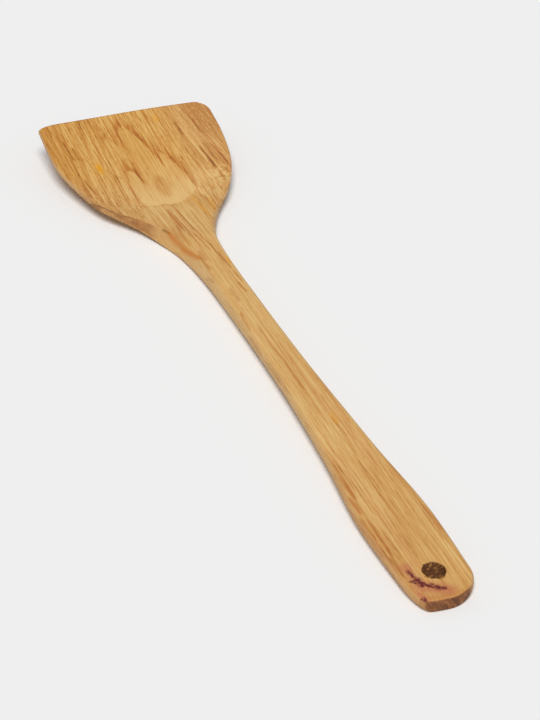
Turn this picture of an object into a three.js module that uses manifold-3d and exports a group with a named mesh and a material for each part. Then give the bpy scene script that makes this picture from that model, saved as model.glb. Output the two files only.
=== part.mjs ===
// A one-piece wooden spatula: a broad grip with a hanging hole, a slim arched handle, a heel that
// ramps down into a scoop, and a thin dished blade that sweeps up to its front edge.
// Millimetres, +Z up, +Y from the butt to the blade. The solid is one carved piece of wood.
import * as THREE from "three";
import { mergeVertices } from "three/addons/utils/BufferGeometryUtils.js";
import Module from "manifold-3d";

// Lengths along the spatula
const HANDLE_LENGTH = 238;
const BLADE_LENGTH = 92;
const GRIP_FROM_BUTT = 42;
const TAPER_FROM_GRIP = 42;
const SHAFT_FROM_TAPER = 46;
const WAIST_BEFORE_HEEL = 48;
const NECK_BEFORE_HEEL = 18;
const FLARE_FROM_HEEL = 14;
const SHOULDER_FROM_HEEL = 30;
const CHEEK_FROM_HEEL = 47;
const FULL_WIDTH_FROM_HEEL = 68;

// Widths of the handle
const BUTT_WIDTH = 23;
const GRIP_WIDTH = 25.2;
const TAPER_WIDTH = 18.9;
const SHAFT_WIDTH = 14.3;
const WAIST_WIDTH = 12.8;

// Reach of the hand-shaped neck and blade to each side of the handle's axis
const LEFT_NECK = 7.2;
const LEFT_HEEL = 10.2;
const LEFT_FLARE = 16.2;
const LEFT_SHOULDER = 26.9;
const LEFT_CHEEK = 32.4;
const LEFT_FULL = 35.9;
const LEFT_FRONT = 35;
const RIGHT_NECK = 6.9;
const RIGHT_HEEL = 8.9;
const RIGHT_FLARE = 14.4;
const RIGHT_SHOULDER = 24.9;
const RIGHT_CHEEK = 31.9;
const RIGHT_FULL = 35.8;
const RIGHT_FRONT = 36.8;

// Corners and bowed ends, seen from above. The butt's left corner is long and shallow
const LEFT_FRONT_RADIUS = 4.7;
const RIGHT_FRONT_RADIUS = 6.2;
const LEFT_FRONT_CROWN = 1.9;
const RIGHT_FRONT_CROWN = 3.7;
const LEFT_BUTT_REACH = 12.8;
const LEFT_BUTT_INSET = 3.4;
const RIGHT_BUTT_RADIUS = 11;
const BUTT_CROWN = 1.5;

// Thicknesses
const BUTT_THICKNESS = 4.6;
const GRIP_THICKNESS = 5.4;
const SHAFT_THICKNESS = 6.6;
const NECK_THICKNESS = 7.6;
const BLADE_THICKNESS = 3.6;
const FRONT_THICKNESS = 1.9;
const BLADE_EDGE_THICKNESS = 1.4;

// Side view: the handle arches between the two flats that the spatula rests on, the blade sweeps up
const HANDLE_ARCH = 1.1;
const ARCH_FROM_BUTT = 112;
const HEEL_FLAT_LENGTH = 8;
const SWEEP_BEFORE_HEEL = 2;
const FRONT_LIFT = 11.1;
const SWEEP_POWER = 1.5;

// The scoop: a ramp runs down from the neck and meets the dished blade in a bowed crease
const RAMP_BEFORE_HEEL = 4;
const CREASE_FROM_HEEL = 25.5;
const CREASE_BOW = 23;
const CREASE_FILLET = 0.5;
const BLADE_DISH = 0.7;

// Rounded edges: how far the rounding reaches in from the side, and the nose of the front edge
const BUTT_EDGE_ROUND = 2.4;
const HANDLE_EDGE_ROUND = 3;
const BLADE_EDGE_ROUND = 1;
const FRONT_NOSE = 1;
const FRONT_NOSE_THICKNESS = 1;

// Hanging hole
const HOLE_DIAMETER = 8;
const HOLE_FROM_BUTT = 14;
const HOLE_OFFSET = -0.2;
const HOLE_CUT_MARGIN = 5;

// Fineness of the loft
const HANDLE_SPACING = 8;
const BLADE_SPACING = 4.5;
const CORNER_STEPS = 6;
const FLAT_POINTS = 13;
const EDGE_STEPS = 4;
const HOLE_SIDES = 40;
const MERGE_DISTANCE = 1e-4;

// A curve's tangent at a key may be this many times the slopes beside it before it swings past
const TANGENT_LIMIT = 3;

const LENGTH = HANDLE_LENGTH + BLADE_LENGTH;
const GRIP = GRIP_FROM_BUTT;
const TAPER = GRIP + TAPER_FROM_GRIP;
const SHAFT = TAPER + SHAFT_FROM_TAPER;
const HEEL = HANDLE_LENGTH;
const WAIST = HEEL - WAIST_BEFORE_HEEL;
const NECK = HEEL - NECK_BEFORE_HEEL;
const FLARE = HEEL + FLARE_FROM_HEEL;
const SHOULDER = HEEL + SHOULDER_FROM_HEEL;
const CHEEK = HEEL + CHEEK_FROM_HEEL;
const FULL_WIDTH = HEEL + FULL_WIDTH_FROM_HEEL;
const SWEEP = HEEL - SWEEP_BEFORE_HEEL;
const HEEL_FLAT = SWEEP - HEEL_FLAT_LENGTH;
const RAMP = HEEL - RAMP_BEFORE_HEEL;

// A smooth curve through [station, value] pairs that never swings past a value
function curveThrough(keys) {
  const spans = keys.slice(1).map((key, i) => key[0] - keys[i][0]);
  const slopes = keys.slice(1).map((key, i) => (key[1] - keys[i][1]) / spans[i]);
  const tangents = keys.map((key, i) => {
    if (i === 0) return slopes[0];
    if (i === slopes.length) return slopes[i - 1];
    const [before, after] = [slopes[i - 1], slopes[i]];
    if (before * after <= 0) return 0;
    const mean = (before * spans[i] + after * spans[i - 1]) / (spans[i] + spans[i - 1]);
    const steepest = TANGENT_LIMIT * Math.min(Math.abs(before), Math.abs(after));
    return THREE.MathUtils.clamp(mean, -steepest, steepest);
  });
  return (station) => {
    const next = keys.findIndex((key) => key[0] > station);
    const i = next < 0 ? spans.length - 1 : Math.max(0, next - 1);
    const t = THREE.MathUtils.clamp((station - keys[i][0]) / spans[i], 0, 1);
    const start = keys[i][1] * (1 + 2 * t) + spans[i] * tangents[i] * t;
    const end = keys[i + 1][1] * (3 - 2 * t) - spans[i] * tangents[i + 1] * (1 - t);
    return start * (1 - t) ** 2 + end * t ** 2;
  };
}

// The handle's half widths up to its waist, shared by both sides
const handleSide = [
  [0, BUTT_WIDTH / 2],
  [GRIP, GRIP_WIDTH / 2],
  [TAPER, TAPER_WIDTH / 2],
  [SHAFT, SHAFT_WIDTH / 2],
  [WAIST, WAIST_WIDTH / 2],
];

const leftSide = {
  reach: curveThrough([
    ...handleSide,
    [NECK, LEFT_NECK],
    [HEEL, LEFT_HEEL],
    [FLARE, LEFT_FLARE],
    [SHOULDER, LEFT_SHOULDER],
    [CHEEK, LEFT_CHEEK],
    [FULL_WIDTH, LEFT_FULL],
    [LENGTH, LEFT_FRONT],
  ]),
  buttReach: LEFT_BUTT_REACH,
  buttInset: LEFT_BUTT_INSET,
  frontRadius: LEFT_FRONT_RADIUS,
  frontCrown: LEFT_FRONT_CROWN,
};

const rightSide = {
  reach: curveThrough([
    ...handleSide,
    [NECK, RIGHT_NECK],
    [HEEL, RIGHT_HEEL],
    [FLARE, RIGHT_FLARE],
    [SHOULDER, RIGHT_SHOULDER],
    [CHEEK, RIGHT_CHEEK],
    [FULL_WIDTH, RIGHT_FULL],
    [LENGTH, RIGHT_FRONT],
  ]),
  buttReach: RIGHT_BUTT_RADIUS,
  buttInset: RIGHT_BUTT_RADIUS,
  frontRadius: RIGHT_FRONT_RADIUS,
  frontCrown: RIGHT_FRONT_CROWN,
};

// How far a corner, a quarter of an oval, draws the outline in at a distance from the end
function cornerInset(distance, reach, inset) {
  const share = THREE.MathUtils.clamp(1 - distance / reach, 0, 1);
  return inset * (1 - Math.sqrt(1 - share * share));
}

function halfWidth(side, station) {
  const butt = cornerInset(station, side.buttReach, side.buttInset);
  const front = cornerInset(LENGTH - station, side.frontRadius, side.frontRadius);
  return side.reach(station) - butt - front;
}

const arch = curveThrough([
  [0, 0],
  [GRIP, 0],
  [ARCH_FROM_BUTT, HANDLE_ARCH],
  [HEEL_FLAT, 0],
  [LENGTH, 0],
]);

const handleThickness = curveThrough([
  [0, BUTT_THICKNESS],
  [GRIP, GRIP_THICKNESS],
  [SHAFT, SHAFT_THICKNESS],
  [NECK, NECK_THICKNESS],
  [LENGTH, NECK_THICKNESS],
]);

const edgeRound = curveThrough([
  [0, BUTT_EDGE_ROUND],
  [GRIP, HANDLE_EDGE_ROUND],
  [NECK, HANDLE_EDGE_ROUND],
  [FLARE, BLADE_EDGE_ROUND],
  [LENGTH, BLADE_EDGE_ROUND],
]);

// Height of the underside on the spatula's axis
function undersideOnAxis(station) {
  const sweep = Math.max(0, station - SWEEP) / (LENGTH - SWEEP);
  return arch(station) + FRONT_LIFT * sweep ** SWEEP_POWER;
}

function bladeThickness(station) {
  return THREE.MathUtils.mapLinear(station, HEEL, LENGTH, BLADE_THICKNESS, FRONT_THICKNESS);
}

// The underside is flat across the handle and cambers up to the thin sides of the blade
function undersideHeight(station, share) {
  const camber = bladeThickness(station) + BLADE_DISH - BLADE_EDGE_THICKNESS;
  const blend = THREE.MathUtils.smoothstep(station, HEEL, SHOULDER);
  return undersideOnAxis(station) + blend * camber * share * share;
}

// The larger of two heights, with a fillet where they meet
function filletedMax(a, b, fillet) {
  const overlap = Math.max(0, fillet - Math.abs(a - b)) / fillet;
  return Math.max(a, b) + (overlap * overlap * fillet) / 4;
}

function bladeTop(station, share) {
  return undersideOnAxis(station) + bladeThickness(station) + BLADE_DISH * share * share;
}

// The ramp falls in straight lines from the top of the neck to the crease
function topHeight(station, across, share) {
  const handle = arch(station) + handleThickness(station);
  if (station <= RAMP) return handle;
  const crease = HEEL + CREASE_FROM_HEEL + CREASE_BOW * (across / RIGHT_FULL) ** 2;
  const ramp = THREE.MathUtils.mapLinear(station, RAMP, crease, handle, bladeTop(crease, share));
  return filletedMax(ramp, bladeTop(station, share), CREASE_FILLET);
}

// The butt and the front edge bow out a little between their corners
function bowedStation(station, across) {
  const front = THREE.MathUtils.smoothstep(station, HEEL, FULL_WIDTH);
  const butt = 1 - THREE.MathUtils.smoothstep(station, 0, GRIP);
  const { frontCrown } = across < 0 ? leftSide : rightSide;
  const frontBow = frontCrown * (across / RIGHT_FRONT) ** 2;
  const buttBow = BUTT_CROWN * (across / (BUTT_WIDTH / 2)) ** 2;
  return station - front * frontBow + butt * buttBow;
}

// Share of the thickness that is left as the front edge rounds off to its nose
function frontNose(station) {
  const loss = cornerInset(LENGTH - station, FRONT_NOSE, 1);
  return 1 - loss * (1 - FRONT_NOSE_THICKNESS / FRONT_THICKNESS);
}

// Upper and lower edges of one cross-section, both from the left side to the right side
function sectionChains(station) {
  const left = halfWidth(leftSide, station);
  const right = halfWidth(rightSide, station);
  const rounding = edgeRound(station);
  const nose = frontNose(station);
  const upper = [];
  const lower = [];
  const addPair = (across, middle, half) => {
    const y = bowedStation(station, across);
    upper.push(new THREE.Vector3(across, y, middle + half * nose));
    lower.push(new THREE.Vector3(across, y, middle - half * nose));
  };
  const heightsAt = (across) => {
    const share = across / (across < 0 ? left : right);
    const top = topHeight(station, across, share);
    const bottom = undersideHeight(station, share);
    return { middle: (top + bottom) / 2, half: (top - bottom) / 2 };
  };
  const flatLeft = rounding - left;
  const flatRight = right - rounding;
  const addEdge = (from, direction, angles) => {
    const { middle, half } = heightsAt(from);
    for (const angle of angles) {
      addPair(from + direction * rounding * Math.sin(angle), middle, half * Math.cos(angle));
    }
  };
  const quarter = Array.from({ length: EDGE_STEPS }, (_, i) => ((i + 1) / EDGE_STEPS) * (Math.PI / 2));
  addEdge(flatLeft, -1, quarter.toReversed());
  for (let i = 0; i < FLAT_POINTS; i += 1) {
    const across = THREE.MathUtils.lerp(flatLeft, flatRight, i / (FLAT_POINTS - 1));
    const { middle, half } = heightsAt(across);
    addPair(across, middle, half);
  }
  addEdge(flatRight, 1, quarter);
  return { upper, lower };
}

// Stations of the loft: on the ends of both flats, closer along the blade and round the corners
function loftStations() {
  const buttReach = Math.max(LEFT_BUTT_REACH, RIGHT_BUTT_RADIUS);
  const frontReach = Math.max(LEFT_FRONT_RADIUS, RIGHT_FRONT_RADIUS);
  const breaks = [buttReach, GRIP, HEEL_FLAT, RAMP, SWEEP, LENGTH - frontReach];
  breaks.sort((a, b) => a - b);
  const stations = [];
  for (let i = 0; i < CORNER_STEPS; i += 1) {
    stations.push(buttReach * (1 - Math.cos((i / CORNER_STEPS) * (Math.PI / 2))));
  }
  for (let i = 1; i < breaks.length; i += 1) {
    const [from, to] = [breaks[i - 1], breaks[i]];
    const steps = Math.ceil((to - from) / (to > HEEL ? BLADE_SPACING : HANDLE_SPACING));
    for (let step = 0; step < steps; step += 1) {
      stations.push(THREE.MathUtils.lerp(from, to, step / steps));
    }
  }
  for (let i = 0; i < CORNER_STEPS; i += 1) {
    stations.push(LENGTH - frontReach * (1 - Math.sin((i / CORNER_STEPS) * (Math.PI / 2))));
  }
  stations.push(LENGTH);
  return stations;
}

// One closed skin over all the cross-sections, with a strip of faces over each end
function loftGeometry() {
  const sections = loftStations().map(sectionChains);
  const count = sections[0].upper.length;
  const positions = [];
  for (const { upper, lower } of sections) {
    for (const point of [...upper, ...lower]) positions.push(...point.toArray());
  }
  const upperAt = (section, i) => section * 2 * count + i;
  const lowerAt = (section, i) => (section * 2 + 1) * count + i;
  const faces = [];
  const addQuad = (a, b, c, d) => faces.push(a, b, c, a, c, d);
  const last = sections.length - 1;
  for (let i = 0; i < count - 1; i += 1) {
    for (let s = 0; s < last; s += 1) {
      addQuad(upperAt(s, i), upperAt(s, i + 1), upperAt(s + 1, i + 1), upperAt(s + 1, i));
      addQuad(lowerAt(s, i), lowerAt(s + 1, i), lowerAt(s + 1, i + 1), lowerAt(s, i + 1));
    }
    addQuad(lowerAt(0, i), lowerAt(0, i + 1), upperAt(0, i + 1), upperAt(0, i));
    addQuad(lowerAt(last, i), upperAt(last, i), upperAt(last, i + 1), lowerAt(last, i + 1));
  }
  const geometry = new THREE.BufferGeometry();
  geometry.setAttribute("position", new THREE.Float32BufferAttribute(positions, 3));
  geometry.setIndex(faces);
  return geometry;
}

function holeGeometry() {
  const radius = HOLE_DIAMETER / 2;
  const depth = 2 * (GRIP_THICKNESS + HOLE_CUT_MARGIN);
  const geometry = new THREE.CylinderGeometry(radius, radius, depth, HOLE_SIDES);
  geometry.rotateX(Math.PI / 2);
  geometry.translate(HOLE_OFFSET, HOLE_FROM_BUTT, 0);
  return geometry;
}

const wasm = await Module();
wasm.setup();

// A closed geometry as a solid, without the faces that collapse where points meet
function toSolid(geometry) {
  const bare = geometry.clone();
  bare.deleteAttribute("normal");
  bare.deleteAttribute("uv");
  const merged = mergeVertices(bare, MERGE_DISTANCE);
  const corners = Array.from(merged.index.array);
  const triangles = [];
  for (let i = 0; i < corners.length; i += 3) {
    const [a, b, c] = corners.slice(i, i + 3);
    if (a !== b && b !== c && c !== a) triangles.push(a, b, c);
  }
  const mesh = new wasm.Mesh({
    numProp: 3,
    vertProperties: new Float32Array(merged.attributes.position.array),
    triVerts: new Uint32Array(triangles),
  });
  return new wasm.Manifold(mesh);
}

function toGeometry(solid) {
  const mesh = solid.getMesh();
  const geometry = new THREE.BufferGeometry();
  geometry.setAttribute("position", new THREE.Float32BufferAttribute(mesh.vertProperties, 3));
  geometry.setIndex(Array.from(mesh.triVerts));
  geometry.computeVertexNormals();
  return geometry;
}

const bodyGeometry = toGeometry(toSolid(loftGeometry()).subtract(toSolid(holeGeometry())));

// The origin lies on the resting plane, under the middle of the spatula's box
bodyGeometry.computeBoundingBox();
const middle = bodyGeometry.boundingBox.getCenter(new THREE.Vector3());

const wood = new THREE.MeshStandardMaterial({ color: 0xd1a465, roughness: 0.55, metalness: 0 });
const body = new THREE.Mesh(bodyGeometry, wood);
body.name = "spatula_body";
body.position.set(-middle.x, -middle.y, 0);

const spatula = new THREE.Group();
spatula.add(body);

export default spatula;
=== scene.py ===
import math

import bpy
import numpy as np
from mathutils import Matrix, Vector, noise


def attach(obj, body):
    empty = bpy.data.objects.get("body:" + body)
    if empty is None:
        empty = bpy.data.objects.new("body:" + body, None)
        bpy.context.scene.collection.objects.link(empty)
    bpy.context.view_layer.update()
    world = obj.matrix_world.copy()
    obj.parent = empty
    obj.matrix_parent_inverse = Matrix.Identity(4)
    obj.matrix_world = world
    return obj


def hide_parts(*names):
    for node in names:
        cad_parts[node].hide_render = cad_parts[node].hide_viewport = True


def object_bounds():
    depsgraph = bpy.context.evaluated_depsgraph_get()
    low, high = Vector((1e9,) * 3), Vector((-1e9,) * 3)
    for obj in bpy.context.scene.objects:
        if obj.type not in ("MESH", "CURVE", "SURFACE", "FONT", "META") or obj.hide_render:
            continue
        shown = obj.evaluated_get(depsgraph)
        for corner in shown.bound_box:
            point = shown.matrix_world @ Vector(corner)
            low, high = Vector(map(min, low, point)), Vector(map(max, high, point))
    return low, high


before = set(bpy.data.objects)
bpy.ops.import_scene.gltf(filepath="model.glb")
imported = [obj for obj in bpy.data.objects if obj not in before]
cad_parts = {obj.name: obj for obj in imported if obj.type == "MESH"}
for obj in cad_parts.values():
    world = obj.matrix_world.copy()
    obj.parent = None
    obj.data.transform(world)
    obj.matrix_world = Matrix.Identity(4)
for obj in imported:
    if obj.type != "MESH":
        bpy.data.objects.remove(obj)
cad_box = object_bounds()

# The part's own sizes, in millimetres. A station is a distance from the butt, and across is a distance
# from the handle's axis, positive to the right
MM = 0.001
low_corner, high_corner = cad_box
BUTT_Y = round(low_corner.y / MM, 1)
LENGTH = round(high_corner.y / MM, 1) - BUTT_Y
# Stations at which the grip ends, and the ramp, the blade's sweep and its thinning start
GRIP, RAMP, SWEEP, HEEL = 42.0, 234.0, 236.0, 238.0
# Half widths of the handle and of both sides of the blade, as (station, reach from the axis)
HANDLE_SIDE = [(0, 11.5), (42, 12.6), (84, 9.45), (130, 7.15), (190, 6.4)]
LEFT_BLADE = [(220, 7.2), (238, 10.2), (252, 16.2), (268, 26.9), (285, 32.4), (306, 35.9), (330, 35.0)]
RIGHT_BLADE = [(220, 6.9), (238, 8.9), (252, 14.4), (268, 24.9), (285, 31.9), (306, 35.8), (330, 36.8)]
AXIS_X = low_corner.x / MM + max(reach for station, reach in LEFT_BLADE)
BUTT_SIDE, FRONT_SIDE = HANDLE_SIDE[0][1], RIGHT_BLADE[-1][1]
HANDLE_ARCH = [(0, 0), (GRIP, 0), (112, 1.1), (228, 0), (LENGTH, 0)]
HANDLE_THICKNESS = [(0, 4.6), (GRIP, 5.4), (130, 6.6), (220, 7.6), (LENGTH, 7.6)]

# Corners, as the reach along the side and the inset at the very end, and the bow of both ends
LEFT_BUTT, RIGHT_BUTT = (12.8, 3.4), (11, 11)
LEFT_FRONT, LEFT_FRONT_EASED, RIGHT_FRONT = (2.2, 9), (3, 1), (6.2, 6.2)
LEFT_CROWN, RIGHT_CROWN, CROWN_END, BUTT_CROWN = 1.9, 3.7, 306.0, 1.5

# The blade sweeps up, is dished, and thins to its front and sides. The heel's ramp runs down to it and
# ends in a bowed crease, with a small cusp left of the middle
SWEEP_RISE, SWEEP_POWER = 11.1, 1.5
HEEL_THICKNESS, FRONT_THICKNESS, SIDE_THICKNESS = 3.6, 1.9, 1.4
DISH, CAMBER_END, RAMP_DROP = 0.7, 268.0, 4.2
CREASE_STATION, CREASE_BOW, CREASE_BLEND = 263.5, 23 / 35.8**2, 0.15
CUSP_ACROSS, CUSP_SIZE, CUSP_WIDTH = -3.0, 1.1, 1.2

# The hanging hole: its middle, its reach across and along the grain, which tore a little, how much it
# narrows on its way down, and how far it leans towards the butt
HOLE_ACROSS, HOLE_STATION = -0.2, 14.3
HOLE_REACH, HOLE_TAPER, HOLE_LEAN = (3.75, 4.15), (0.4, 1.6), 1.4

# Edges along both sides: how far in from the outline the top ends, the share of the thickness at which
# the side is widest, and the roundness of the side above that: 1 is a flat bevel and 2 an ellipse
LEFT_BEVEL = [
    (0, 1.6), (20, 1.8), (60, 2.2), (190, 2.2), (215, 1.9), (240, 1.4), (258, 1.1), (272, 1.0), (288, 0.9),
    (304, 0.7), (330, 0.6),
]
LEFT_WIDEST = [
    (0, 0.55), (60, 0.58), (190, 0.52), (225, 0.3), (245, 0.15), (272, 0.12), (292, 0.3), (330, 0.5),
]
LEFT_ROUND = [
    (0, 2.2), (60, 2.0), (190, 1.8), (215, 1.4), (240, 1.1), (272, 1.1), (292, 1.3), (306, 2), (330, 2),
]
RIGHT_BEVEL = [(0, 1.3), (42, 2.0), (130, 2.3), (200, 2.2), (225, 1.8), (245, 1.3), (265, 1.1), (330, 0.7)]
RIGHT_WIDEST = [(0, 0.45), (200, 0.42), (240, 0.3), (265, 0.35), (295, 0.5), (330, 0.5)]
RIGHT_ROUND = [(0, 2.2), (190, 2.0), (235, 1.5), (265, 1.4), (295, 1.9), (330, 2)]
LOWER_BEVEL = [(0, 2.2), (60, 2.6), (200, 2.6), (240, 0.8), (270, 0.5), (330, 0.5)]
# Softened edges across both ends, as the reach along the length and the height taken off
FRONT_NOSE, BUTT_TOP_EDGE, BUTT_LOW_EDGE = (1.0, 0.45), (1.4, 0.9), (0.5, 0.4)

# Tool marks on the top: the lip behind the crease, the torn grain at the right of the heel, and shallow
# waves, as (height, wavelength across and along, seed)
LIP_HEIGHT, LIP_LENGTH, LIP_ACROSS, LIP_FADE = 0.32, 5.0, -6.5, (5, 11)
TORN_HEIGHT, TORN_REACH, TORN_ACROSS, TORN_STATION = 0.45, 4.0, 26.5, 278.0
WAVES = [(0.07, (8.0, 38.0), 7.7), (0.03, (3.0, 14.0), 1.9)]


def curve_through(keys):
    """The part's smooth curve through (station, value) pairs."""
    at, value = np.array(keys, float).T
    span = np.diff(at)
    slope = np.diff(value) / span
    tangent = np.concatenate([slope[:1], np.zeros(len(at) - 2), slope[-1:]])
    for i in range(1, len(at) - 1):
        before, after = slope[i - 1], slope[i]
        if before * after > 0:
            mean = (before * span[i] + after * span[i - 1]) / (span[i] + span[i - 1])
            steepest = 3 * min(abs(before), abs(after))
            tangent[i] = np.clip(mean, -steepest, steepest)

    def evaluate(station):
        station = np.asarray(station, float)
        i = np.clip(np.searchsorted(at, station, side="right") - 1, 0, len(span) - 1)
        t = np.clip((station - at[i]) / span[i], 0, 1)
        start = value[i] * (1 + 2 * t) + span[i] * tangent[i] * t
        end = value[i + 1] * (3 - 2 * t) - span[i] * tangent[i + 1] * (1 - t)
        return start * (1 - t) ** 2 + end * t**2

    return evaluate


def smoothstep(value, low, high):
    t = np.clip((np.asarray(value, float) - low) / (high - low), 0, 1)
    return t * t * (3 - 2 * t)


def corner_inset(distance, reach, inset):
    """What an oval corner, inset deep at the very end, takes off at a distance from that end."""
    share = np.clip(1 - np.asarray(distance, float) / reach, 0, 1)
    return inset * (1 - np.sqrt(1 - share * share))


left_reach = curve_through(HANDLE_SIDE + LEFT_BLADE)
right_reach = curve_through(HANDLE_SIDE + RIGHT_BLADE)
arch = curve_through(HANDLE_ARCH)
handle_thickness = curve_through(HANDLE_THICKNESS)


def left_width(station):
    front = LENGTH - station
    front_corner = corner_inset(front, *LEFT_FRONT) + corner_inset(front, *LEFT_FRONT_EASED)
    return left_reach(station) - corner_inset(station, *LEFT_BUTT) - front_corner


def right_width(station):
    front_corner = corner_inset(LENGTH - station, *RIGHT_FRONT)
    return right_reach(station) - corner_inset(station, *RIGHT_BUTT) - front_corner


def underside_on_axis(station):
    forward = np.maximum(0, station - SWEEP) / (LENGTH - SWEEP)
    return arch(station) + SWEEP_RISE * forward**SWEEP_POWER


def blade_thickness(station):
    forward = (station - HEEL) / (LENGTH - HEEL)
    return HEEL_THICKNESS + (FRONT_THICKNESS - HEEL_THICKNESS) * forward


def underside(station, share):
    """Height of the underside, with share as the distance from the axis over the half width."""
    camber = blade_thickness(station) + DISH - SIDE_THICKNESS
    return underside_on_axis(station) + smoothstep(station, HEEL, CAMBER_END) * camber * share**2


def blade_top(station, share):
    return underside_on_axis(station) + blade_thickness(station) + DISH * share**2


def crease(across):
    """Station at which the heel's ramp meets the scoop."""
    cusp = CUSP_SIZE * np.exp(-(((across - CUSP_ACROSS) / CUSP_WIDTH) ** 2))
    return CREASE_STATION + CREASE_BOW * across**2 + cusp


def top(station, across, share):
    handle = arch(station) + handle_thickness(station)
    foot = crease(across)
    ramp = handle + (blade_top(foot, share) - handle) * (station - RAMP) / (foot - RAMP)
    blade = blade_top(station, share)
    overlap = np.maximum(0, CREASE_BLEND - np.abs(ramp - blade)) / CREASE_BLEND
    blended = np.maximum(ramp, blade) + overlap**2 * CREASE_BLEND / 4
    return np.where(station <= RAMP, handle, blended)


def bowed(station, across):
    """Distance along the axis of a point, with the bow of the front and of the butt."""
    crown = np.where(across < 0, LEFT_CROWN, RIGHT_CROWN)
    front = smoothstep(station, HEEL, CROWN_END) * crown * (across / FRONT_SIDE) ** 2
    butt = (1 - smoothstep(station, 0, GRIP)) * BUTT_CROWN * (across / BUTT_SIDE) ** 2
    return station - front + butt


def noise_at(places, wavelength, seed):
    """Smooth noise from -1 to 1 at (across, station) places."""
    scaled = places / np.array(wavelength)
    return np.array([noise.noise(Vector((x, y, seed))) for x, y in scaled])


def carving(across, station):
    """Height that the hand tools left on the top."""
    places = np.stack([across, station], 1)
    behind = crease(across) - station
    lip = smoothstep(behind, -0.35, 0.35) * np.exp(-np.maximum(behind, 0) / LIP_LENGTH)
    lip *= LIP_HEIGHT * (1 - smoothstep(abs(across - LIP_ACROSS), *LIP_FADE))
    along_crease = np.stack([across + station, station - across], 1)
    away = ((across - TORN_ACROSS) ** 2 + (station - TORN_STATION) ** 2) / TORN_REACH**2
    torn = np.exp(-away) * TORN_HEIGHT * (noise_at(along_crease, (4.0, 2.2), 3.1) - 0.25)
    waves = sum(height * noise_at(places, wavelength, seed) for height, wavelength, seed in WAVES)
    return lip + torn + waves


# Skin of the body: one ring of points round each station, upper points first
FLAT_POINTS, EDGE_POINTS = 93, 8
UPPER_SIZE = FLAT_POINTS + 2 * EDGE_POINTS
RING_SIZE = 2 * UPPER_SIZE - 2
# Stretches of stations, as (first, end, step), and the stations nearest to both ends
STRETCHES = [(6, 21, 0.5), (21, RAMP, 1.1), (RAMP, 262, 0.8), (262, 271, 0.4), (271, 322, 0.8)]
NEAR_BUTT, NEAR_FRONT = [0.04, 0.12, 0.25, 0.5], np.array([0.05, 0.15, 0.3, 0.5, 0.75])


def corner_steps(reach, count):
    """Distances from an end that part a corner into equal turns."""
    return reach * (1 - np.cos(np.linspace(0, math.pi / 2, count)))


stations = np.unique(np.concatenate([
    NEAR_BUTT,
    corner_steps(LEFT_BUTT[0], 16),
    *(np.arange(*stretch) for stretch in STRETCHES),
    LENGTH - corner_steps(RIGHT_FRONT[0], 14),
    LENGTH - NEAR_FRONT,
]).round(3))
side_shapes = [[curve_through(keys) for keys in side] for side in (
    (LEFT_BEVEL, LEFT_WIDEST, LEFT_ROUND), (RIGHT_BEVEL, RIGHT_WIDEST, RIGHT_ROUND),
)]
lower_bevel = curve_through(LOWER_BEVEL)
turn = np.linspace(0, math.pi / 2, EDGE_POINTS + 1)[1:]


def section(station):
    """Ring of (across, along, height) round one station."""
    left, right = left_width(station), right_width(station)
    front_trim = corner_inset(LENGTH - station, *FRONT_NOSE)
    (left_bevel, left_widest, left_round), (right_bevel, right_widest, right_round) = (
        [float(shape(station)) for shape in side] for side in side_shapes
    )
    low_bevel = float(lower_bevel(station))

    def flat_part(left_trim, right_trim):
        flat = np.linspace(left_trim - left, right - right_trim, FLAT_POINTS)
        return flat, np.where(flat < 0, flat / left, flat / right)

    flat, share = flat_part(left_bevel, right_bevel)
    high = top(station, flat, share) - corner_inset(station, *BUTT_TOP_EDGE) - front_trim
    low_flat, low_share = flat_part(low_bevel, low_bevel)
    low = underside(station, low_share) + corner_inset(station, *BUTT_LOW_EDGE) + front_trim
    left_level = low[0] + (high[0] - low[0]) * left_widest
    right_level = low[-1] + (high[-1] - low[-1]) * right_widest

    def side(reach, bevel, level, end, roundness):
        """Points from the end of a flat out to the widest point."""
        out, rise = np.sin(turn) ** (2 / roundness), np.cos(turn) ** (2 / roundness)
        return reach - bevel * (1 - out), level + (end - level) * rise

    upper_left = side(left, left_bevel, left_level, high[0], left_round)
    upper_right = side(right, right_bevel, right_level, high[-1], right_round)
    lower_left = side(left, low_bevel, left_level, low[0], 2)
    lower_right = side(right, low_bevel, right_level, low[-1], 2)
    upper_across = np.concatenate([-upper_left[0][::-1], flat, upper_right[0]])
    upper_height = np.concatenate([upper_left[1][::-1], high, upper_right[1]])
    lower_across = np.concatenate([-lower_left[0][::-1], low_flat, lower_right[0]])
    lower_height = np.concatenate([lower_left[1][::-1], low, lower_right[1]])
    across = np.concatenate([upper_across, lower_across[-2:0:-1]])
    height = np.concatenate([upper_height, lower_height[-2:0:-1]])
    return np.stack([across, bowed(station, across), height], 1)


rings = np.array([section(s) for s in stations])
RING_COUNT = len(rings)
ring_stations = np.repeat(stations[:, None], RING_SIZE, 1)

# How much of the top's carving each point of a ring takes: all on the flat, none at the widest point
fade = np.cos(turn)
carved_share = np.concatenate([fade[::-1], np.ones(FLAT_POINTS), fade, np.zeros(RING_SIZE - UPPER_SIZE)])
clear_of_ends = smoothstep(stations, 0.5, 8) * (1 - smoothstep(stations, 318, 329))
relief = carving(rings[:, :UPPER_SIZE, 0].ravel(), ring_stations[:, :UPPER_SIZE].ravel())
rings[:, :UPPER_SIZE, 2] += (
    relief.reshape(RING_COUNT, UPPER_SIZE) * carved_share[:UPPER_SIZE] * clear_of_ends[:, None]
)

# Marks on the points, read by the material: the top, the wall along the left side, the hole
on_top = np.broadcast_to(carved_share, (RING_COUNT, RING_SIZE)).copy()
on_wall = np.zeros((RING_COUNT, RING_SIZE))
on_wall[:, 1:EDGE_POINTS] = 1
in_hole = np.zeros((RING_COUNT, RING_SIZE))


def lower_index(i):
    return (RING_SIZE - i) % RING_SIZE


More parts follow.
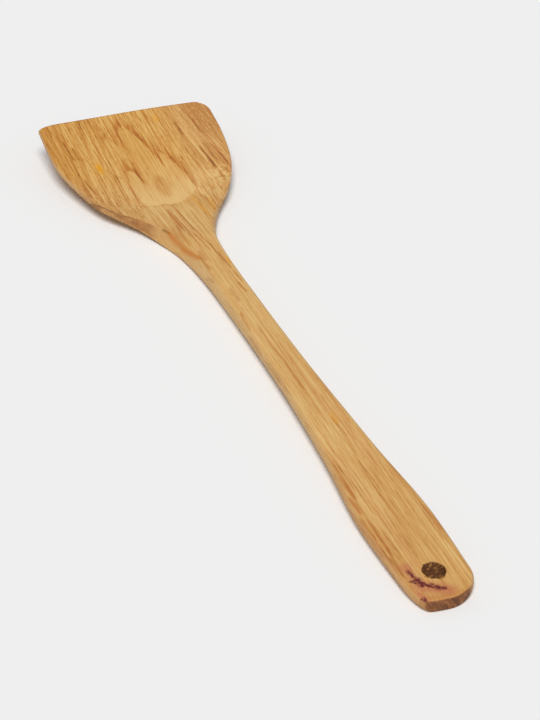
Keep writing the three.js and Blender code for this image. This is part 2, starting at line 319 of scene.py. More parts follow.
# A block of the skin round the hanging hole gives way to loops that run in to its rim and down its wall
HOLE_BLOCK = 6.3
SKIN_SHARES, WALL_DEPTHS = (0.4, 0.7, 0.88), (0.14, 0.24, 0.36, 0.48, 0.6, 0.72, 0.84)
first_row, last_row = np.flatnonzero(abs(stations - HOLE_STATION) < HOLE_BLOCK)[[0, -1]]
middle_row = rings[(first_row + last_row) // 2]
flat_columns = np.arange(EDGE_POINTS, EDGE_POINTS + FLAT_POINTS)
near = abs(middle_row[flat_columns, 0] - HOLE_ACROSS) < HOLE_BLOCK
first_column, last_column = flat_columns[near][[0, -1]]
block_rows, block_columns = range(first_row, last_row), range(first_column, last_column)
border = [(first_row, c) for c in block_columns]
border += [(r, last_column) for r in block_rows]
border += [(last_row, c + 1) for c in reversed(block_columns)]
border += [(r + 1, first_column) for r in reversed(block_rows)]
upper_border = [r * RING_SIZE + c for r, c in border]
lower_border = [r * RING_SIZE + lower_index(c) for r, c in border]
points = rings.reshape(-1, 3)
centre = np.array([HOLE_ACROSS, HOLE_STATION])
bearing = np.arctan2(*(points[upper_border, :2] - centre).T[::-1])
facing = np.stack([np.cos(bearing), np.sin(bearing)], 1)
torn_rim = abs(facing[:, 1])


def hole_loop(depth, spread, roughness, seed):
    """Loop round the hole at a share of the depth, spread out from its wall and made ragged."""
    ragged = noise_at(facing * 3.4, (1.0, 1.0), seed)
    ragged = ragged * roughness * (0.35 + torn_rim)
    reach = np.array(HOLE_REACH) - np.array(HOLE_TAPER) * depth
    plan = centre + facing * (reach + (spread + ragged)[:, None]) - [0, HOLE_LEAN * depth]
    return np.column_stack([plan, handle_thickness(plan[:, 1]) * (1 - depth)])


def skin_loops(skin, rim, shares):
    """Loops at shares of the way from the skin to the hole's rim."""
    return [points[skin] + (rim - points[skin]) * share for share in shares]


upper_rim = hole_loop(0.0, 0.3, 0.3, 0.4)
lower_rim = hole_loop(1.0, 0.3, 0.12, 9.4)
upper_loops = [*skin_loops(upper_border, upper_rim, SKIN_SHARES), upper_rim]
wall_loops = [hole_loop(0.012, 0.12, 0.34, 0.5), hole_loop(0.06, 0.02, 0.36, 0.7)]
wall_loops += [hole_loop(depth, 0.0, 0.3, 2 + 3 * depth) for depth in WALL_DEPTHS]
wall_loops += [hole_loop(0.94, 0.02, 0.22, 6.2), hole_loop(0.988, 0.12, 0.16, 9.0)]
lower_loops = [lower_rim, *skin_loops(lower_border, lower_rim, SKIN_SHARES[::-1])]
loops = upper_loops + wall_loops + lower_loops

# Marks on the loops: the top runs over the rim, and the wall's first and last loops take only part of the
# hole's dark tone
loop_top = [1] * (len(upper_loops) + 2)
loop_top += [0] * (len(loops) - len(loop_top))
loop_hole = [0] * len(upper_loops) + [0.6] + [1] * (len(wall_loops) - 2) + [0.6] + [0] * len(lower_loops)
loop_points = np.concatenate(loops)
border_size = len(border)

# Faces: the skin without the block, both ends, and the loops of the hole
faces = []
block = {(r, c) for r in block_rows for c in block_columns}
lower_block = {(r, lower_index(c + 1)) for r, c in block}
for r in range(RING_COUNT - 1):
    for i in range(RING_SIZE):
        if (r, i) in block or (r, i) in lower_block:
            continue
        j = (i + 1) % RING_SIZE
        a, b = r * RING_SIZE, (r + 1) * RING_SIZE
        faces.append((a + i, a + j, b + j, b + i))
for r, outward in ((0, 1), (RING_COUNT - 1, -1)):
    base = r * RING_SIZE
    for i in range(UPPER_SIZE - 1):
        corners = [base + i, base + i + 1, base + lower_index(i + 1), base + lower_index(i)]
        faces.append(tuple(dict.fromkeys(corners[::-outward])))
first = len(points)
loop_indices = [upper_border]
loop_indices += [range(first + k * border_size, first + (k + 1) * border_size) for k in range(len(loops))]
loop_indices += [lower_border]
for outer, inner in zip(loop_indices, loop_indices[1:]):
    for i in range(border_size):
        j = (i + 1) % border_size
        faces.append((outer[i], outer[j], inner[j], inner[i]))

used = np.unique(np.concatenate([np.array(f) for f in faces]))
renumbered = np.full(first + len(loop_points), -1)
renumbered[used] = np.arange(len(used))
all_points = np.concatenate([points, loop_points])[used]
faces = [tuple(renumbered[list(f)].tolist()) for f in faces]

mesh = bpy.data.meshes.new("spatula")
mesh.from_pydata(((all_points + [AXIS_X, BUTT_Y, 0]) * MM).tolist(), [], faces)
mesh.validate()
for name, on_rings, on_loops in (
    ("on_top", on_top, loop_top), ("on_wall", on_wall, [0] * len(loops)), ("in_hole", in_hole, loop_hole),
):
    values = np.concatenate([on_rings.ravel(), np.repeat(np.array(on_loops, float), border_size)])[used]
    mesh.attributes.new(name, "FLOAT", "POINT").data.foreach_set("value", values)
body = bpy.data.objects.new("spatula", mesh)
bpy.context.scene.collection.objects.link(body)
mesh.polygons.foreach_set("use_smooth", [True] * len(mesh.polygons))
mesh.set_sharp_from_angle(angle=math.radians(42))


class Field:
    """A number or colour on the surface, so that shader maths is written as plain formulas."""

    def __init__(self, socket):
        self.socket = socket

    def _math(self, operation, *values):
        node = self.socket.node.id_data.nodes.new("ShaderNodeMath")
        node.operation = operation
        for place, value in zip(node.inputs, values):
            set_input(place, value)
        return Field(node.outputs[0])

    def __add__(self, other):
        return self._math("ADD", self, other)

    def __sub__(self, other):
        return self._math("SUBTRACT", self, other)

    def __rsub__(self, other):
        return self._math("SUBTRACT", other, self)

    def __mul__(self, other):
        return self._math("MULTIPLY", self, other)

    def __truediv__(self, other):
        return self._math("DIVIDE", self, other)

    def __pow__(self, other):
        return self._math("POWER", self, other)

    def __abs__(self):
        return self._math("ABSOLUTE", self)

    def larger(self, other):
        return self._math("MAXIMUM", self, other)

    def clipped(self):
        return self._math("MINIMUM", self.larger(0.0), 1.0)

    __radd__, __rmul__ = __add__, __mul__


def set_input(place, value):
    if isinstance(value, Field):
        place.id_data.links.new(value.socket, place)
    else:
        place.default_value = value


def srgb(red, green, blue):
    """A colour as it reads on a screen, from 0 to 255, as a shader colour."""
    values = np.array([red, green, blue]) / 255
    linear = np.where(values <= 0.04045, values / 12.92, ((values + 0.055) / 1.055) ** 2.4)
    return (*linear.tolist(), 1.0)


# Wood: its grain, marks and tones are formulas of the place on the surface, in millimetres
wood = bpy.data.materials.new("wood")
wood.use_nodes = True
tree = wood.node_tree
shader = tree.nodes["Principled BSDF"]


def vector_field(x, y, z):
    node = tree.nodes.new("ShaderNodeCombineXYZ")
    for place, value in zip(node.inputs, (x, y, z)):
        set_input(place, value)
    return Field(node.outputs[0])


def noise_field(x, y, z, detail=2.0, roughness=0.5):
    node = tree.nodes.new("ShaderNodeTexNoise")
    node.inputs["Scale"].default_value = 1.0
    node.inputs["Detail"].default_value = detail
    node.inputs["Roughness"].default_value = roughness
    set_input(node.inputs["Vector"], vector_field(x, y, z))
    return Field(node.outputs["Fac"])


def stepped(field, low, high):
    """Goes smoothly from 0 at low to 1 at high."""
    node = tree.nodes.new("ShaderNodeMapRange")
    node.interpolation_type = "SMOOTHSTEP"
    set_input(node.inputs["Value"], field)
    node.inputs["From Min"].default_value = low
    node.inputs["From Max"].default_value = high
    return Field(node.outputs["Result"])


def ramp_field(field, stops):
    """A number or colour that follows (place, value) stops, with places from 0 to 1."""
    node = tree.nodes.new("ShaderNodeValToRGB")
    elements = node.color_ramp.elements
    while len(elements) < len(stops):
        elements.new(0.5)
    for element, (place, value) in zip(elements, stops):
        element.position = place
        element.color = value if isinstance(value, tuple) else (value, value, value, 1.0)
    set_input(node.inputs[0], field)
    return Field(node.outputs["Color"])


def mixed(first, second, share):
    node = tree.nodes.new("ShaderNodeMix")
    node.data_type = "RGBA"
    set_input(node.inputs[0], share)
    set_input(node.inputs[6], first)
    set_input(node.inputs[7], second)
    return Field(node.outputs[2])


def attribute_field(name):
    node = tree.nodes.new("ShaderNodeAttribute")
    node.attribute_name = name
    return Field(node.outputs["Fac"])


coordinates = tree.nodes.new("ShaderNodeTexCoord")


def parts_of(output):
    node = tree.nodes.new("ShaderNodeSeparateXYZ")
    tree.links.new(coordinates.outputs[output], node.inputs[0])
    return [Field(socket) for socket in node.outputs]


along_x, along_y, along_z = parts_of("Object")
across = along_x * (1 / MM) - AXIS_X
station = along_y * (1 / MM) - BUTT_Y
height = along_z * (1 / MM)
normal_x, normal_y, normal_z = parts_of("Normal")

# Height above the upward sweep of the blade and the heel's ramp, which the streaks follow, and the way
# in which the grain on the right of the blade leans outwards towards the heel
level = height - ((station - SWEEP).larger(0.0) / (LENGTH - SWEEP)) ** SWEEP_POWER * SWEEP_RISE
level = level + ((station - RAMP) / (CREASE_STATION - RAMP)).clipped() * RAMP_DROP
lean = (station - 300.0) * 0.1 * stepped(across, 12.0, 26.0) * stepped(station, 255.0, 275.0)
grain_across = across + lean


def grain(fineness, stretch, detail=2.0, roughness=0.5, seed=0.0):
    """Noise drawn out along the grain: features per millimetre across it, and how long they are."""
    along = station * (fineness / stretch)
    depth = level * (0.5 * fineness)
    return noise_field(grain_across * fineness + seed, along, depth, detail, roughness)


# Places on the top as seen from above: wavy ones for marks that follow the fibres, and plain ones
wavy_across = across + (grain(0.4, 4.0, 3.0, 0.6, 11.0) - 0.5) * 1.6
wavy_station = station + (grain(0.5, 2.0, 2.0, 0.5, 17.0) - 0.5) * 3.0
wavy_place = vector_field(wavy_across, wavy_station, 0.0)
plain_place = vector_field(across, station, 0.0)


def distance_from(place, direction, surface):
    """How far the surface lies from an (across, station) place in a direction."""
    node = tree.nodes.new("ShaderNodeVectorMath")
    node.operation = "DOT_PRODUCT"
    set_input(node.inputs[0], surface)
    set_input(node.inputs[1], (*direction, 0))
    return abs(Field(node.outputs["Value"]) - direction.dot(place))


def stroke(start, end, reach, surface):
    """1 on the line between two (across, station) places, fading towards its ends and at reach from it."""
    run = Vector(end) - Vector(start)
    middle = (Vector(start) + Vector(end)) / 2
    aside = distance_from(middle, Vector((-run.y, run.x)).normalized(), surface)
    along = distance_from(middle, run / run.length_squared, surface)
    return stepped(aside, reach, 0.0) * stepped(along, 0.5, 0.3)


def strokes(marks, surface=wavy_place):
    """The strongest of several (start, end, reach, strength) strokes."""
    total = None
    for start, end, reach, strength in marks:
        mark = stroke(start, end, reach, surface) * strength
        total = mark if total is None else total.larger(mark)
    return total


def oval(middle, reach):
    """1 in the middle of an oval on the top, fading to 0 at its edge."""
    aside = (across - middle[0]) / reach[0]
    along = (station - middle[1]) / reach[1]
    return stepped(aside * aside + along * along, 1.0, 0.1)


# Growth rings: rough cylinders round a pith that runs just under the handle, with RINGS as (radius, tone).
# In the scoop the palest ring shows as three lobes, which CONTOUR gives as (slant from the pith, radius)
PITH_DEPTH, PALE_RING, LAST_RING = 3.0, 15.0, 36.0
SLANT_SPAN, LOBE_LOW, LOBE_SPAN = 3.2, 10.0, 8.0
CONTOUR = [
    (-1.6, 13.6), (-1.25, 14.0), (-1.1, 14.7), (-0.9, 14.3), (-0.74, 13.4), (-0.66, 12.6), (-0.57, 11.2),
    (-0.47, 11.8), (-0.4, 13.4), (-0.31, 15.0), (-0.1, 14.8), (0.0, 14.4), (0.15, 13.7), (0.28, 13.1),
    (0.38, 12.9), (0.51, 12.6), (0.56, 12.3), (0.61, 13.9), (0.78, 14.7), (1.04, 15.3), (1.27, 15.9),
    (1.6, 15.8),
]
RINGS = [
    (0, 0.3), (8.0, 0.15), (8.2, 0.5), (9.0, 0.2), (10.2, 0.1), (10.4, 0.45), (11.2, 0.15), (12.4, 0.1),
    (12.6, 0.4), (13.4, 0.15), (14.7, 0.05), (15.0, 0.7), (15.7, 0.55), (17.0, 0.3), (18.4, 0.2),
    (18.7, 0.95), (19.3, 0.5), (20.6, 0.3), (20.9, 0.7), (22.0, 0.3), (23.3, 0.25), (23.6, 1.0),
    (24.6, 0.45), (26.8, 0.3), (27.1, 1.0), (28.2, 0.4), (30.1, 0.35), (30.4, 1.0), (31.7, 0.45),
    (32.0, 0.85), (33.8, 0.4), (34.3, 0.9),
]
cusp = CUSP_SIZE * (1.0 - stepped(abs(across - CUSP_ACROSS), 0.0, 2.2))
crease_line = CREASE_STATION + CREASE_BOW * across * across + cusp
ahead = station - crease_line
in_scoop = stepped(ahead, -0.25, 0.25)
near_axis = 1.0 - stepped(abs(across), 12.0, 18.0)
pool_line = crease_line + 0.024 * (across + 0.5) * (across + 0.5)
in_front = station - pool_line
in_pool = stepped(in_front, -0.3, 0.6)
above_pith = height + PITH_DEPTH
radius = (across * across + above_pith * above_pith) ** 0.5
slant = across / above_pith
contour_stops = [(s / SLANT_SPAN + 0.5, (r - LOBE_LOW) / LOBE_SPAN) for s, r in CONTOUR]
lobes = ramp_field(slant / SLANT_SPAN + 0.5, contour_stops) * LOBE_SPAN + LOBE_LOW
lobed = (PALE_RING - lobes) * (1.0 - stepped(radius, 15.5, 24.0)) * in_pool
behind = (1.0 - in_pool) * near_axis * 2.2
drift = (noise_field(across / 9.0, station / 60.0, height / 9.0) - 0.5) * 1.6
ragged = (grain(0.9, 14.0, 3.0, 0.6, 5.0) - 0.5) * 0.6
radius = radius + lobed + behind + drift * stepped(radius, 15.0, 19.0) + ragged
ring = ramp_field(radius / LAST_RING, [(r / LAST_RING, tone) for r, tone in RINGS])
outer_wood = stepped(radius, 14.7, 15.2)

# Streaks, lines, fibres and pores run along the grain
broad = grain(0.22, 30.0, 2.0, 0.5, 2.0) - 0.5
streak = grain(0.9, 45.0, 3.0, 0.6, 7.0) - 0.5
thread = grain(2.2, 75.0, 2.0, 0.6, 3.0) - 0.5
fibre = grain(4.5, 60.0, 1.0, 0.5, 9.0) - 0.5
line = stepped(grain(1.8, 60.0, 2.0, 0.5, 61.0), 0.54, 0.72)
dash = stepped(grain(2.4, 9.0, 1.0, 0.5, 23.0), 0.59, 0.7)
pore = stepped(grain(3.4, 18.0, 0.0, 0.5, 31.0), 0.6, 0.8)
on_heel = (1.0 - in_scoop) * stepped(station, 200.0, 235.0)
on_handle = 1.0 - stepped(station, 225.0, 255.0)
contrast = 0.78 + 0.4 * outer_wood * (1.0 - on_handle) - 0.22 * in_pool * (1.0 - outer_wood)
dark = 0.15 + 0.25 * broad + contrast * (0.35 * streak + 1.55 * thread + 0.8 * fibre)
dark = dark + ring * (0.1 + 0.2 * outer_wood) * (1.0 + 1.5 * streak)
dash_share = 0.3 * (1.0 - 0.7 * on_heel) * (1.0 - 0.55 * on_handle)
dark = dark + contrast * (0.18 * line + dash_share * dash + 0.16 * pore)
lobe_edge = stepped(radius, 14.7, 15.0) * stepped(radius, 16.4, 15.1) * in_pool
dark = dark + lobe_edge * stepped(abs(across - 1.0), 18.0, 12.0) * (0.12 + 0.8 * streak)

# Darker and paler parts of the board, as (middle, reach, amount)
TONES = [
    ((0, 308), (9, 18), 0.11),
    ((0, 292), (6, 14), 0.04),
    ((0, 327), (16, 8), -0.08),
    ((1, 277), (4, 10), 0.24),
    ((-31, 312), (6, 24), 0.08),
    ((22, 273), (12, 15), -0.13),
    ((25, 300), (10, 15), -0.06),
    ((-9, 256), (9, 14), -0.2),
    ((4, 249), (6, 15), -0.12),
    ((0, 40), (16, 60), 0.08),
    ((-4, 1), (12, 9), 0.1),
    ((-9.5, 34), (4, 42), 0.02),
]
for middle, reach, amount in TONES:
    dark = dark + oval(middle, reach) * amount

# The scoop is palest just in front of the crease, partly paler wood and partly a painted highlight on the
# lip of the scoop, the crease itself is a thin line of painted shade, and the torn grain at the right of
# the heel gets painted light and shade on its ripples
# Paler wood in front of the crease, with a painted highlight on the lip of the scoop
pool_tone_and_highlight = stepped(in_front, 0.0, 1.5) * stepped(in_front, 18.0, 1.5) * stepped(abs(across - 1.0), 17.0, 9.0)
dark = dark - 0.2 * pool_tone_and_highlight * (1.0 + 3.0 * streak)
# Painted shade: a thin dark line along the crease, strongest left of the middle
dark = dark + stepped(abs(ahead), 0.75, 0.15) * (0.22 * stepped(abs(across + 6.0), 9.0, 5.0) + 0.06)
# Painted light and shade on the ripples of the torn grain, and the torn patch made a little paler
ripple_light_and_shade = noise_field(across * 0.25 + station * 0.5, (station - across) * 0.28, 6.0, 2.0, 0.5) - 0.5
torn_across, torn_along = across - 26.0, station - TORN_STATION
torn = stepped((torn_across * torn_across + torn_along * torn_along) ** 0.5, 8.0, 2.0)
dark = dark + 2.2 * torn * ripple_light_and_shade - 0.1 * torn

# Rims: the front edge is darkened as painted shade on its rounding, and the butt and the edges along both
# sides of the blade are a little darker
on_top_field = attribute_field("on_top")
facing_up = stepped(normal_z, -0.1, 0.3)
front_crown = LEFT_CROWN + (RIGHT_CROWN - LEFT_CROWN) * stepped(across, -0.1, 0.1)
front_gap = LENGTH - station - front_crown * (across / FRONT_SIDE) * (across / FRONT_SIDE)
# Painted shade: a thin darker line along the rounded front edge
dark = dark + 0.3 * stepped(front_gap, 1.1, 0.3)
butt_gap = station - BUTT_CROWN * (across / BUTT_SIDE) * (across / BUTT_SIDE)
dark = dark + 0.26 * stepped(butt_gap, 3.5, 0.4)
dark = dark + 0.22 * (1.0 - on_top_field) * facing_up * stepped(station, 262.0, 285.0)

# The main dark streaks, as (start, end, reach, strength) strokes, broken up along the grain
DARK_MARKS = [
    ((-3.4, 262), (-3.6, 240), 1.5, 0.34),
    ((-4.2, 258), (-5.6, 226), 0.8, 0.36),
    ((-2.6, 258), (-1.8, 222), 0.7, 0.5),
    ((-0.2, 260), (0.4, 236), 0.6, 0.6),
    ((0.2, 243), (3.0, 211), 0.6, 0.6),
    ((-8.7, 264), (-8.9, 243), 0.5, 0.36),
    ((-6.7, 264), (-7.1, 238), 0.5, 0.42),
    ((-5.7, 264), (-5.8, 246), 0.5, 0.32),
    ((-14.2, 268), (-14.3, 254), 0.6, 0.4),
    ((4.7, 260), (4.3, 230), 0.5, 0.28),
    ((13.8, 265), (13.6, 250), 0.6, 0.4),
    ((-1.0, 238), (0.6, 220), 0.5, 0.44),
    ((-2.3, 228), (-2.0, 211), 0.5, 0.4),
    ((2.6, 221), (3.3, 205), 0.9, 0.5),
    ((-4.9, 221), (-4.4, 207), 0.6, 0.55),
    ((-6.4, 208), (-5.6, 200), 0.6, 0.6),
    ((1.8, 197), (2.8, 187), 0.7, 0.5),
    ((3.0, 206), (3.8, 195), 0.6, 0.4),
    ((-6.4, 293), (-5.4, 280), 1.2, 0.36),
    ((-4.7, 318), (-4.6, 284), 0.6, 0.22),
    ((-3.6, 319), (0.6, 318), 1.4, 0.12),
    ((1.6, 317), (4.4, 302), 1.0, 0.26),
    ((4.2, 304), (6.2, 289), 1.0, 0.3),
    ((7.4, 302), (11.0, 290), 0.9, 0.18),
    ((11.0, 291), (13.2, 272), 0.8, 0.16),
    ((-11.2, 287), (-11.6, 270), 0.7, 0.16),
    ((-27.7, 318), (-27.3, 302), 0.9, 0.66),
    ((-25.4, 313), (-25.1, 302), 0.7, 0.56),
    ((-27.6, 291), (-26.0, 278), 0.7, 0.56),
    ((-28.8, 287), (-27.6, 275), 0.5, 0.36),
    ((-17.4, 310), (-17.2, 297), 0.6, 0.42),
    ((-15.8, 300), (-15.8, 272), 0.5, 0.3),
    ((-20.4, 280), (-20.0, 267), 0.5, 0.26),
    ((-12.2, 329), (-10.6, 319), 1.4, 0.22),
    ((19.6, 318), (20.6, 306), 0.8, 0.54),
    ((27.3, 318), (27.9, 305), 0.8, 0.56),
    ((23.6, 300), (25.2, 281), 0.8, 0.62),
    ((25.8, 302), (28.0, 284), 0.8, 0.62),
    ((21.2, 298), (21.8, 281), 0.5, 0.34),
    ((28.4, 300), (31.0, 282), 0.7, 0.56),
    ((-4.8, 177), (-5.4, 162), 0.7, 0.6),
    ((-6.2, 164), (-6.8, 147), 0.7, 0.7),
    ((-6.9, 150), (-6.8, 118), 0.6, 0.55),
    ((0.6, 103), (1.6, 90), 0.6, 0.36),
    ((0.1, 78), (0.3, 56), 0.5, 0.32),
    ((-8.3, 81), (-9.0, 56), 0.6, 0.5),
    ((-7.4, 78), (-7.6, 60), 0.5, 0.36),
    ((-6.6, 66), (-6.8, 46), 0.4, 0.3),
    ((-11.6, 51), (-11.2, 17), 0.6, 0.55),
    ((-12.3, 48), (-12.0, 24), 0.4, 0.5),
    ((-9.7, 48), (-9.4, 24), 0.6, 0.46),
    ((-7.5, 41), (-7.3, 22), 0.5, 0.4),
    ((-10.9, 27), (-10.4, 13), 0.6, 0.5),
    ((-5.4, 52), (-5.2, 34), 0.4, 0.26),
    ((-2.4, 37), (-2.2, 21), 0.4, 0.3),
    ((9.4, 46), (9.2, 26), 0.5, 0.36),
]
broken = 0.2 + 1.5 * grain(2.4, 14.0, 2.0, 0.6, 51.0)
dark = dark + strokes(DARK_MARKS) * broken * facing_up
dark = (dark - (dark - 0.5).larger(0.0) * 0.5).clipped()

# Two ranges of tone, from the palest wood to the darkest, in patches
golden = ramp_field(dark, [
    (0.0, srgb(222, 182, 116)), (0.2, srgb(213, 166, 97)), (0.4, srgb(203, 150, 80)),
    (0.6, srgb(186, 127, 62)), (0.8, srgb(160, 100, 46)), (1.0, srgb(118, 68, 32)),
])
reddish = ramp_field(dark, [
    (0.0, srgb(219, 173, 108)), (0.2, srgb(210, 155, 90)), (0.4, srgb(199, 136, 72)),
    (0.6, srgb(181, 113, 56)), (0.8, srgb(152, 86, 42)), (1.0, srgb(110, 58, 30)),
])
red_patches = stepped(grain(0.3, 16.0, 2.0, 0.5, 41.0), 0.52, 0.7) * 0.75
colour = mixed(golden, reddish, red_patches.larger(lobe_edge * 0.7))
mottle = stepped(noise_field(across * 1.2, station * 0.7 + across * 0.4, 8.0, 3.0, 0.65), 0.4, 0.6)
right_corner = stepped(across, 22.0, 30.0) * stepped(station, 296.0, 310.0)
colour = mixed(colour, srgb(176, 112, 54), right_corner * (0.06 + 0.7 * mottle) * on_top_field)

# The front left of the blade is the most golden part, and spots and streaks are yellow and reddish
gold = stepped(station, 272.0, 296.0) * stepped(across, 24.0, 12.0)
vivid = tree.nodes.new("ShaderNodeHueSaturation")
set_input(vivid.inputs["Saturation"], 0.98 + 0.05 * gold)
set_input(vivid.inputs["Color"], colour)
colour = Field(vivid.outputs["Color"])
ORANGE_MARKS = [
    ((-19.4, 301), (-19.2, 290), 2.4, 0.5),
    ((-19.4, 298.6), (-19.3, 292.6), 1.7, 1.3),
    ((13.2, 325), (13.4, 318), 1.8, 0.6),
    ((4.5, 215), (4.6, 209), 1.4, 0.8),
    ((1.5, 105), (1.4, 97), 1.5, 0.5),
    ((9.4, 268), (9.9, 246), 1.6, 0.5),
    ((14.8, 265), (13.2, 246), 1.5, 0.5),
]
colour = mixed(colour, srgb(222, 152, 20), strokes(ORANGE_MARKS) * on_top_field * 0.75)
RED_MARKS = [
    ((-3.5, 262), (-3.7, 236), 1.9, 0.5),
    ((-3.9, 224), (-3.7, 214), 1.4, 0.5),
    ((-2.1, 168), (-1.8, 138), 0.9, 0.65),
    ((-1.8, 143), (-1.5, 119), 0.8, 0.6),
    ((-2.6, 194), (-2.4, 182), 1.2, 0.6),
    ((5.0, 192), (5.2, 178), 0.8, 0.5),
    ((-8.9, 67), (-9.2, 55), 1.0, 0.7),
    ((-10.9, 60), (-10.5, 48), 0.9, 0.9),
    ((10.4, 48), (10.6, 30), 1.0, 0.6),
    ((-9.8, 46), (-9.6, 24), 0.9, 0.5),
]
colour = mixed(colour, srgb(178, 98, 44), (strokes(RED_MARKS) * broken).clipped() * facing_up * 0.75)

# Sides: the pale sides of the handle, the brown wall along the left of the heel with a short crack and
# orange streaks at the neck, and the dark end grain
side_share = stepped(abs(normal_x), 0.35, 0.8) * stepped(station, 246.0, 236.0)
side_streak = noise_field(height * 1.3, station * 0.05, across * 0.6, 3.0, 0.6)
side_tone = mixed(srgb(216, 178, 120), srgb(198, 152, 100), stepped(station, 130.0, 40.0))
side_tone = mixed(side_tone, srgb(216, 172, 104), stepped(station, 205.0, 228.0))
side_tone = mixed(side_tone, srgb(178, 128, 76), stepped(side_streak, 0.46, 0.7) * 0.6)
colour = mixed(colour, side_tone, side_share * (0.55 + 0.3 * stepped(station, 200.0, 225.0)))
wall_share = attribute_field("on_wall") * stepped(station, 232.0, 244.0)
wall_streak = noise_field(height * 1.1, station * 0.11, across * 0.3, 4.0, 0.65)
wall_tone = mixed(srgb(188, 140, 86), srgb(132, 86, 48), stepped(wall_streak, 0.36, 0.6))
wall_tone = mixed(wall_tone, srgb(168, 106, 54), stepped(station, 264.0, 254.0) * 0.5)
wall_tone = mixed(wall_tone, srgb(212, 166, 100), stepped(station, 251.0, 244.0) * 0.85)
wall_tone = mixed(wall_tone, srgb(190, 152, 108), stepped(station, 270.0, 288.0))
colour = mixed(colour, wall_tone, wall_share * 0.85)
CRACK = [
    ((-11.2, 244.6), (-8.9, 238.6), 0.4, 0.8),
]
NECK_MARKS = [
    ((-10.0, 242.5), (-7.0, 228.5), 0.8, 0.8),
    ((-8.2, 234), (-5.0, 215), 0.8, 0.9),
    ((-6.6, 240), (-5.4, 226), 0.6, 0.6),
]
colour = mixed(colour, srgb(124, 74, 32), strokes(CRACK, plain_place))
colour = mixed(colour, srgb(194, 112, 26), strokes(NECK_MARKS, plain_place) * 0.9)
end_rings = noise_field(across * 0.6 + height * 0.35, 3.0, height * 0.2 - across * 0.1, 2.0, 0.6)
end_tone = mixed(srgb(150, 96, 54), srgb(98, 58, 30), stepped(end_rings, 0.3, 0.7))
colour = mixed(colour, srgb(172, 118, 70), side_share * stepped(station, 6.0, 0.5) * 0.7)
end_share = stepped(abs(normal_y), 0.55, 0.8) * (1.0 - 0.6 * stepped(station, 200.0, 300.0))
colour = mixed(colour, end_tone, end_share)

# The hole's rough wall, dark as burnt end grain and as painted shade, with paler flecks, and the stain
# beside it with its blush
RIM_MARKS = [
    ((-4.4, 13.0), (-1.4, 9.8), 0.9, 0.9),
    ((-2.6, 10.2), (2.4, 10.0), 0.9, 1.0),
]
colour = mixed(colour, srgb(146, 104, 44), strokes(RIM_MARKS) * on_top_field)
hole_grit = noise_field(across * 0.9, station * 1.2, height * 1.4, 2.0, 0.6)
# The hole's wall colour: burnt end grain, darkened further as painted shade, with paler flecks
hole_burn_and_shade = mixed(srgb(92, 54, 25), srgb(166, 116, 58), stepped(hole_grit, 0.5, 0.7))
in_hole_field = attribute_field("in_hole")
colour = mixed(colour, hole_burn_and_shade, in_hole_field)
blotch = stepped(noise_field(across * 1.1, station * 0.9, 4.0, 3.0, 0.65), 0.3, 0.58)
BLUSH = [
    ((-8.2, 22), (-7.4, 4), 3.2, 0.9),
    ((-10.5, 11), (3.0, 1.6), 4.4, 1.0),
    ((-10.2, 9), (-8.0, -6), 3.0, 0.9),
]
flat_up = stepped(normal_z, 0.5, 0.9)
colour = mixed(colour, srgb(188, 112, 76), strokes(BLUSH) * (0.5 + 0.5 * blotch) * flat_up)
STAIN = [
    ((-8.2, 18.0), (-7.0, 9.5), 1.5, 0.9),
    ((-7.3, 13.0), (-6.3, 7.5), 2.2, 1.2),
    ((-7.4, 10.4), (-2.2, 5.6), 1.7, 1.2),
    ((-4.4, 7.4), (0.2, 4.0), 1.7, 1.2),
    ((-9.8, 12.0), (-6.2, 8.6), 1.3, 1.0),
    ((-9.4, 3.4), (-8.8, -1.0), 1.1, 1.2),
]
stain = strokes(STAIN) * (0.2 + 0.95 * blotch)
colour = mixed(colour, srgb(104, 38, 38), stain.clipped() * stepped(normal_z, 0.2, 0.6))

# Satin finish, with fibres and pores in the surface
set_input(shader.inputs["Base Color"], colour)
set_input(shader.inputs["Roughness"], 0.52 + 0.12 * dark + 0.25 * in_hole_field)
shader.inputs["Specular IOR Level"].default_value = 0.3
bump = tree.nodes.new("ShaderNodeBump")
bump.inputs["Strength"].default_value = 0.5
bump.inputs["Distance"].default_value = 0.00012
set_input(bump.inputs["Height"], thread + 0.6 * fibre - 0.7 * pore - 0.4 * dash)
tree.links.new(bump.outputs["Normal"], shader.inputs["Normal"])
mesh.materials.append(wood)
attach(body, "root")
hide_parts("spatula_body")

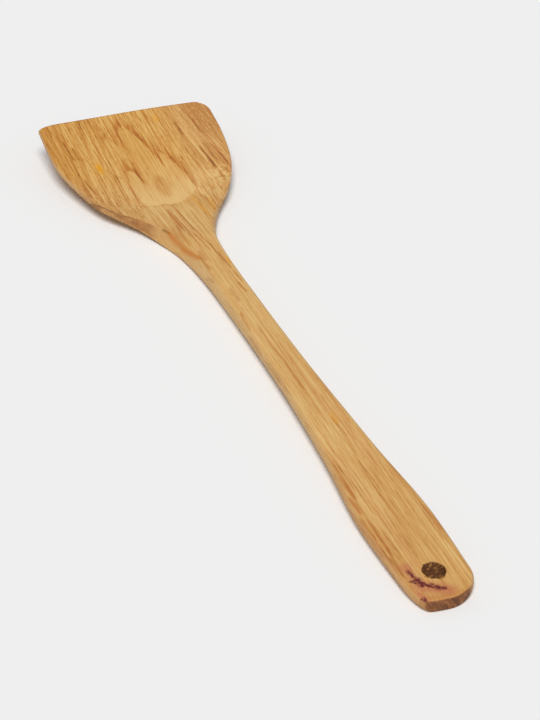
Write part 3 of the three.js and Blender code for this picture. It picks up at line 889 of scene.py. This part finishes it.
# Floor, in metres, just under the part
FLOOR_HALF, FLOOR_HEIGHT, FLOOR_TONE = 30.0, -2e-4, 0.863
floor_mesh = bpy.data.meshes.new("floor")
quarters = ((-1, -1), (1, -1), (1, 1), (-1, 1))
floor_corners = [(x * FLOOR_HALF, y * FLOOR_HALF, FLOOR_HEIGHT) for x, y in quarters]
floor_mesh.from_pydata(floor_corners, [], [(0, 1, 2, 3)])
floor = bpy.data.objects.new("floor", floor_mesh)
bpy.context.scene.collection.objects.link(floor)
floor_paint = bpy.data.materials.new("floor_paint")
floor_paint.use_nodes = True
paint = floor_paint.node_tree.nodes["Principled BSDF"]
paint.inputs["Base Color"].default_value = (FLOOR_TONE, FLOOR_TONE, FLOOR_TONE, 1)
paint.inputs["Roughness"].default_value = 1
paint.inputs["Specular IOR Level"].default_value = 0
floor_mesh.materials.append(floor_paint)

# Light: a white sky and one broad lamp, as shares of the floor's light, which add up to 1
SKY_SHARE, KEY_SHARE = 0.3, 0.7
KEY_TOWARDS, KEY_ANGLE = Vector((-0.24, -0.55, 1.0)), math.radians(30)
world = bpy.data.worlds.new("studio")
bpy.context.scene.world = world
world.use_nodes = True
sky = world.node_tree.nodes["Background"]
sky.inputs["Color"].default_value = (1, 1, 1, 1)
sky.inputs["Strength"].default_value = SKY_SHARE
lamp = bpy.data.lights.new("key", "SUN")
lamp.energy = KEY_SHARE * math.pi / KEY_TOWARDS.normalized().z
lamp.angle = KEY_ANGLE
key = bpy.data.objects.new("key", lamp)
key.rotation_euler = KEY_TOWARDS.to_track_quat("Z", "Y").to_euler()
bpy.context.scene.collection.objects.link(key)

# Camera, fitted to the outline in the photograph
AZIMUTH, ELEVATION = math.radians(-21.17), math.radians(33)
LOOK_AT, DISTANCE, LENS = Vector((-0.002157, -0.01166, 0)), 0.93047, 130
level_share = math.cos(ELEVATION)
back = Vector((math.sin(AZIMUTH) * level_share, -math.cos(AZIMUTH) * level_share, math.sin(ELEVATION)))
camera_data = bpy.data.cameras.new("camera")
camera_data.lens = LENS
camera = bpy.data.objects.new("camera", camera_data)
camera.location = LOOK_AT + back * DISTANCE
camera.rotation_euler = back.to_track_quat("Z", "Y").to_euler()
bpy.context.scene.collection.objects.link(camera)
bpy.context.scene.camera = camera
bpy.context.scene.view_settings.view_transform = "Standard"
